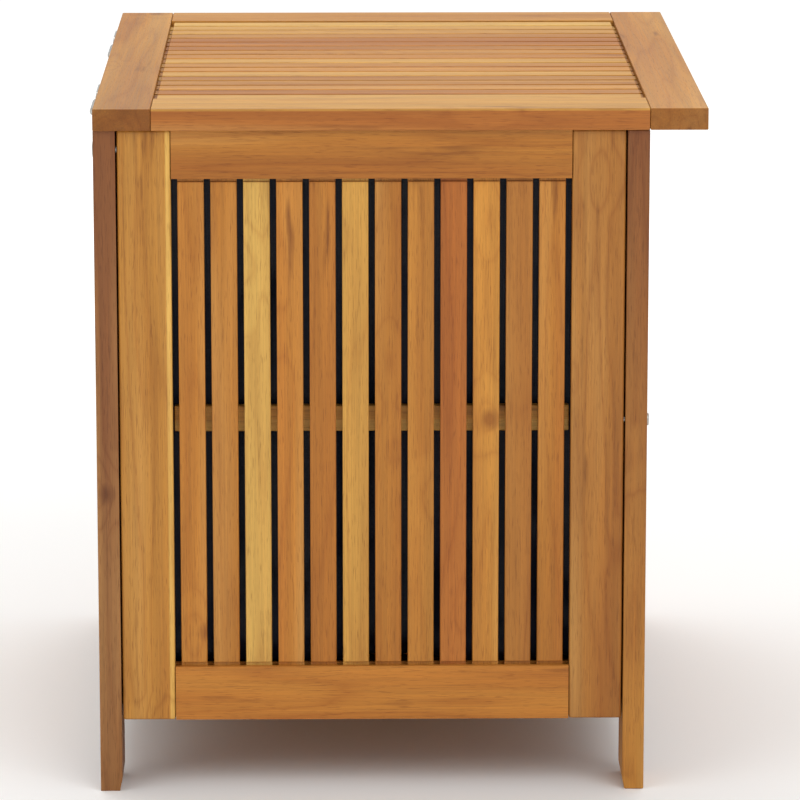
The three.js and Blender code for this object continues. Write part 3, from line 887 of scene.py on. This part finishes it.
def makeWeaveGroup():
    tree, given, out = newGroup("coatedWeave", [
        ("Place", "NodeSocketVector", (0, 0, 0)),
        ("Cloud Place", "NodeSocketVector", (0, 0, 0)),
        ("Colour", "NodeSocketColor", (0.02, 0.02, 0.04, 1)),
        ("Threads", "NodeSocketFloat", 1300.0),
    ], [("Colour", "NodeSocketColor"), ("Roughness", "NodeSocketFloat"), ("Height", "NodeSocketFloat")])
    counted = {0: given["Place"], "Scale": given["Threads"]}
    turns = addNode(tree, "ShaderNodeVectorMath", counted, operation="SCALE").outputs[0]
    waves = addNode(tree, "ShaderNodeVectorMath", {0: turns}, operation="SINE").outputs[0]
    split = addNode(tree, "ShaderNodeSeparateXYZ", {0: waves}).outputs
    warp = sums(tree, "ABSOLUTE", split[0])
    weft = sums(tree, "ABSOLUTE", split[1])
    over = sums(tree, "GREATER_THAN", sums(tree, "MULTIPLY", split[0], split[1]), 0.0)
    thread = sums(tree, "ADD", sums(tree, "MULTIPLY", warp, over),
                  sums(tree, "MULTIPLY", weft, sums(tree, "SUBTRACT", 1.0, over)))
    cloud = noiseOf(tree, scaled(tree, given["Cloud Place"], (24, 24, 24)), 4.0, 0.6)
    crease = noiseOf(tree, scaled(tree, given["Cloud Place"], (110, 110, 60)), 2.0)
    # the colour is darker toward each thread's edge and lighter on its crown: painted shade in the hollows of
    # the weave
    tint = addNode(tree, "ShaderNodeVectorMath", {
        0: given["Colour"], "Scale": remap(tree, thread, 0.0, 1.0, 0.62, 1.15),
    }, operation="SCALE").outputs[0]
    colour = mixed(tree, remap(tree, cloud, 0.40, 0.70, 0.0, 0.6), tint, (0.013, 0.022, 0.062, 1))
    clouded = remap(tree, cloud, 0.3, 0.7, 0.40, 0.56)
    rough = sums(tree, "ADD", clouded, sums(tree, "MULTIPLY", thread, -0.06))
    height = sums(tree, "ADD", sums(tree, "MULTIPLY", thread, 0.3), crease)
    for label, value in (("Colour", colour), ("Roughness", rough), ("Height", height)):
        tree.links.new(value, out.inputs[label])
    return tree


weaveGroup = makeWeaveGroup()
clothLook = {
    "bump": 0.4,
    "relief": 0.0009,
    "gloss": 0.35,
    "sheen": 0.12,
    "sheenColour": (0.25, 0.40, 1.0, 1),
}


def makeCloth(name, colour, threads):
    material = bpy.data.materials.new(name)
    material.use_nodes = True
    tree = material.node_tree
    shader = tree.nodes["Principled BSDF"]
    group = addNode(tree, "ShaderNodeGroup", node_tree=weaveGroup)
    tree.links.new(addNode(tree, "ShaderNodeUVMap", uv_map="cloth").outputs[0], group.inputs["Place"])
    tree.links.new(addNode(tree, "ShaderNodeTexCoord").outputs["Object"], group.inputs["Cloud Place"])
    group.inputs["Colour"].default_value = colour
    group.inputs["Threads"].default_value = threads
    bumped = {"Strength": clothLook["bump"], "Distance": clothLook["relief"]}
    bump = addNode(tree, "ShaderNodeBump", {"Height": group.outputs["Height"], **bumped})
    tree.links.new(group.outputs["Colour"], shader.inputs["Base Color"])
    tree.links.new(group.outputs["Roughness"], shader.inputs["Roughness"])
    tree.links.new(bump.outputs[0], shader.inputs["Normal"])
    shader.inputs["Specular IOR Level"].default_value = clothLook["gloss"]
    shader.inputs["Sheen Weight"].default_value = clothLook["sheen"]
    shader.inputs["Sheen Tint"].default_value = clothLook["sheenColour"]
    return material


linerCloth = makeCloth("coatedLinerCloth", (0.008, 0.011, 0.026, 1), 1300.0)
bindingTape = makeCloth("bindingTape", (0.007, 0.008, 0.012, 1), 2600.0)

bag = {
    "cell": 0.006,
    "hemRows": 4,  # cells
    "hemBottom": 0.522,
    "draw": 0.006,  # how far the walls hang in, past the battens
    "drawnBelow": 0.3355,
    "cornerRadius": 0.026,
    "footRadius": 0.014,
    "cloth": 0.0007,
    "drape": 0.0066,
    "crumple": 0.0038,
    "pressed": 0.0009,  # creases from the packing
    "pressedWidth": 0.004,
    "pressedAt": ((-0.137, 0.0, 0.137), (0.0,), (0.250, 0.400)),
    "band": 0.0007,
    "binding": 0.0012,
    "stitch": (0.0038, 0.0008, 0.0005),
    "studsAlong": (-0.225, -0.075, 0.075, 0.225),
    "studsDeep": (-0.15, 0.0, 0.15),
    "studHeight": 0.537,
    "studProfile": [
        (0.0, 0.0021), (0.0022, 0.0020), (0.0040, 0.0015), (0.0050, 0.0008), (0.0053, 0.0), (0.0, 0.0),
    ],
    "flatCut": (1.357, 1.493),  # one cross of cloth: the floor with a wall and its hem on each side
    "flatArea": 1.112,
}
inHem, inCorner, atFoot, onStitchRow = 1, 2, 4, 8  # kinds of points on the bag, added up
tiny = 1e-5  # points closer than this count as level


def ridge(place, scale, lift=0.0):
    # 1 along the crests of a noise, and falling away on both sides
    at = Vector((place[0] * scale[0] + lift, place[1] * scale[1] + 2 * lift, place[2] * scale[2] - lift))
    return max(0.0, 1.0 - 3.2 * abs(noise.noise(at)))


def eased(low, high, value):
    share = min(max((value - low) / (high - low), 0.0), 1.0)
    return share * share * (3 - 2 * share)


def slackAt(b, place, middle):
    # how far the cloth hangs in from the tight shape
    at = place - middle
    hung = 1.0 - eased(0.36, 0.525, place.z)
    low = 1.0 - eased(0.15, 0.27, place.z)
    drape = b["drape"] * ridge(at, (8, 8, 1.5)) ** 1.5 * (0.25 + 0.75 * hung)
    leaning = at + Vector((at.z * 0.6, at.z * 0.5, 0))
    slant = 0.4 * b["drape"] * ridge(leaning, (11, 11, 5), 3.0) ** 2 * (0.3 + 0.7 * hung)
    crumple = b["crumple"] * ridge(at, (13, 13, 26), 5.0) ** 1.4 * (0.25 + 0.75 * low)
    away = [abs(at[axis] - line) for axis in (0, 1) for line in b["pressedAt"][axis]]
    away += [abs(place.z - line) for line in b["pressedAt"][2]]
    pressed = b["pressed"] * math.exp(-(min(away) / b["pressedWidth"]) ** 2)
    return (drape + slant + crumple + pressed) * (1.0 - eased(0.515, 0.526, place.z))


def bagPlace(b, at, half):
    # moves a point of the plain box to the rounded bag, which hangs in a little below its hem
    r, foot = b["cornerRadius"], b["footRadius"]
    plan, up = Vector((abs(at.x), abs(at.y))), at.z + half.z
    corner = plan - Vector((half.x - r, half.y - r))
    if min(corner) > 0:
        out, edge = corner.normalized(), r - max(corner)
        plan = Vector((half.x - r, half.y - r)) + out * max(corner)
    elif half.x - plan.x < half.y - plan.y:
        out, edge = Vector((1, 0)), half.x - plan.x
    else:
        out, edge = Vector((0, 1)), half.y - plan.y
    if edge < foot and up < foot:
        lean = Vector((foot - edge, foot - up)).normalized() * foot
        plan, up = plan + out * (edge - foot + lean.x), foot - lean.y
    return Vector((math.copysign(plan.x, at.x), math.copysign(plan.y, at.y), up - half.z))


def makeBagShell(b):
    low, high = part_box("liner_bag")
    middle, half = (low + high) / 2, (high - low) / 2
    bm = bmesh.new()
    bmesh.ops.create_cube(bm, size=2.0, matrix=Matrix.Translation(middle) @ Matrix.Diagonal((*half, 1)))
    bm.normal_update()
    bmesh.ops.delete(bm, geom=[f for f in bm.faces if f.normal.z > 0.9], context="FACES_ONLY")
    counts = [round(2 * size / b["cell"]) for size in half]
    for axis, count in enumerate(counts):
        along = [e for e in bm.edges if abs(e.verts[0].co[axis] - e.verts[1].co[axis]) > b["cell"] * 1.5]
        along = [e for e in along if sum(abs(c) > tiny for c in e.verts[0].co - e.verts[1].co) == 1]
        bmesh.ops.subdivide_edges(bm, edges=along, cuts=count - 1, use_grid_fill=True)
    cloth = bm.loops.layers.uv.new("cloth")
    kind = bm.verts.layers.int.new("kind")
    bm.normal_update()
    for face in bm.faces:
        across = max(range(3), key=lambda axis: abs(face.normal[axis]))
        for loop in face.loops:
            loop[cloth].uv = [loop.vert.co[axis] for axis in range(3) if axis != across]
    for v in bm.verts:
        at = v.co - middle
        onX, onY = abs(at.x) > half.x - tiny, abs(at.y) > half.y - tiny
        row = round((half.z - at.z) / (2 * half.z / counts[2]))
        v[kind] = inHem * (row <= b["hemRows"]) + inCorner * (onX and onY)
        v[kind] += onStitchRow * (row in (1, b["hemRows"] - 1))
        v[kind] += atFoot * (row == counts[2] and (onX or onY))
        place = bagPlace(b, at, half) + middle
        below = (b["hemBottom"] - place.z) / (b["hemBottom"] - b["drawnBelow"])
        drawn = min(max(below, 0.0), 1.0) * b["draw"]
        x = (place.x - middle.x) * (1 - drawn / half.x)
        y = (place.y - middle.y) * (1 - drawn / half.y)
        v.co = Vector((x, y, place.z)) + Vector((middle.x, middle.y, 0))
    bmesh.ops.recalc_face_normals(bm, faces=bm.faces)
    bm.normal_update()
    if sum(f.normal.z for f in bm.faces) > 0:
        bmesh.ops.reverse_faces(bm, faces=bm.faces)
        bm.normal_update()
    moves = [-v.normal * slackAt(b, v.co, middle) for v in bm.verts]
    for v, move in zip(bm.verts, moves):
        v.co += move
    for face in bm.faces:
        face.smooth = True
    bm.normal_update()
    return bm


def finishCloth(name, bm, thickness, lift, material, *nodes):
    # a piece of cloth that lies inside the tight shape, lift away from it
    bm.normal_update()
    moves = [-v.normal * lift for v in bm.verts]
    for v, move in zip(bm.verts, moves):
        v.co += move
    piece = finishPiece(name, bm, "liner_fabric", material, "body", *nodes)
    wall = piece.modifiers.new("wall", "SOLIDIFY")
    wall.thickness, wall.offset = thickness, -1.0
    return piece


def onlyFaces(bm, wanted):
    part = bm.copy()
    kind = part.verts.layers.int["kind"]
    spare = [f for f in part.faces if not wanted([v[kind] for v in f.verts])]
    bmesh.ops.delete(part, geom=spare, context="FACES")
    return part


def makeLiner(b):
    shell = makeBagShell(b)
    kind = shell.verts.layers.int["kind"]
    thread, one = bmesh.new(), bmesh.new()
    thick = b["stitch"][2]
    bmesh.ops.create_uvsphere(one, u_segments=6, v_segments=4, radius=0.5,
                              matrix=Matrix.Diagonal((*b["stitch"], 1)))
    for face in one.faces:
        face.smooth = True
    stitch = shapeOf(one)
    for edge in shell.edges:
        kinds = [v[kind] for v in edge.verts]
        alike = kinds[0] & kinds[1]
        level = abs(edge.verts[0].co.z - edge.verts[1].co.z) < 0.001
        onHem = alike & onStitchRow and level
        onSeam = (alike & inCorner and not alike & inHem) or alike & atFoot
        if not onHem and not onSeam:
            continue
        inward = -(edge.verts[0].normal + edge.verts[1].normal).normalized()
        along = (edge.verts[1].co - edge.verts[0].co).normalized()
        turn = Matrix((along, inward.cross(along), inward)).transposed().to_4x4()
        lift = b["cloth"] + (b["band"] if onHem else b["binding"]) + thick / 4
        place = (edge.verts[0].co + edge.verts[1].co) / 2 + inward * lift
        addCopy(thread, stitch, Matrix.Translation(place) @ turn)
    band = onlyFaces(shell, lambda kinds: all(k & inHem for k in kinds))
    seams = onlyFaces(shell, lambda kinds: sum(bool(k & inCorner) for k in kinds) == 2
                      or sum(bool(k & atFoot) for k in kinds) >= 2)
    liner = finishCloth("linerBag", shell, b["cloth"], 0.0, linerCloth, "liner_bag")
    parts = [
        finishCloth("linerHem", band, b["band"], b["cloth"], linerCloth),
        finishCloth("linerBinding", seams, b["binding"], b["cloth"], bindingTape),
        finishPiece("linerStitches", thread, "liner_fabric", stitchThread, "body"),
        makeStuds(b),
    ]


def makeStuds(b):
    low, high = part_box("liner_bag")
    middle = (low + high) / 2
    inside = b["cloth"] + b["band"]
    spun = spunHead(b["studProfile"], 28)
    for face in spun.faces:
        face.smooth = True
    cap = shapeOf(spun)
    bm = bmesh.new()
    for x in b["studsAlong"]:
        addShape(bm, cap, (x, low.y + inside, b["studHeight"]), (0, 1, 0))
        addShape(bm, cap, (x, high.y - inside, b["studHeight"]), (0, -1, 0))
    for y in b["studsDeep"]:
        addShape(bm, cap, (low.x + inside, middle.y + y, b["studHeight"]), (1, 0, 0))
        addShape(bm, cap, (high.x - inside, middle.y + y, b["studHeight"]), (-1, 0, 0))
    return finishPiece("linerStuds", bm, "zinc_steel", zinc, "body")


def makeThread(name, colour):
    material = bpy.data.materials.new(name)
    material.use_nodes = True
    tree = material.node_tree
    shader = tree.nodes["Principled BSDF"]
    place = addNode(tree, "ShaderNodeTexCoord").outputs["Object"]
    ply = noiseOf(tree, scaled(tree, place, (2200, 2200, 2200)), 1.0)
    twist = {0: colour, "Scale": remap(tree, ply, 0.3, 0.7, 0.7, 1.3)}
    shade = addNode(tree, "ShaderNodeVectorMath", twist, operation="SCALE").outputs[0]
    bump = addNode(tree, "ShaderNodeBump", {"Height": ply, "Strength": 0.4, "Distance": 0.0002})
    tree.links.new(shade, shader.inputs["Base Color"])
    tree.links.new(bump.outputs[0], shader.inputs["Normal"])
    shader.inputs["Roughness"].default_value = 0.6
    return material


stitchThread = makeThread("stitchThread", (0.045, 0.050, 0.075))
makeLiner(bag)
print("liner ready")


# screws that hold the lid's battens

lidScrews = {
    "along": (-0.245, -0.135, -0.045, 0.045, 0.135, 0.245),
    "stagger": 0.007,
    "proud": 0.0001,
}


def makeLidScrews(look):
    bm = bmesh.new()
    for node in ("lid_front_batten", "lid_rear_batten"):
        low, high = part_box(node)
        for i, x in enumerate(look["along"]):
            y = (low.y + high.y) / 2 + (look["stagger"] if i % 2 else -look["stagger"])
            addShape(bm, screwMesh, (x, y, low.z - look["proud"]), (0, 0, -1))
    finishPiece("lidBattenScrews", bm, "zinc_steel", screwSteel, "lid")


makeLidScrews(lidScrews)
print("screws ready")
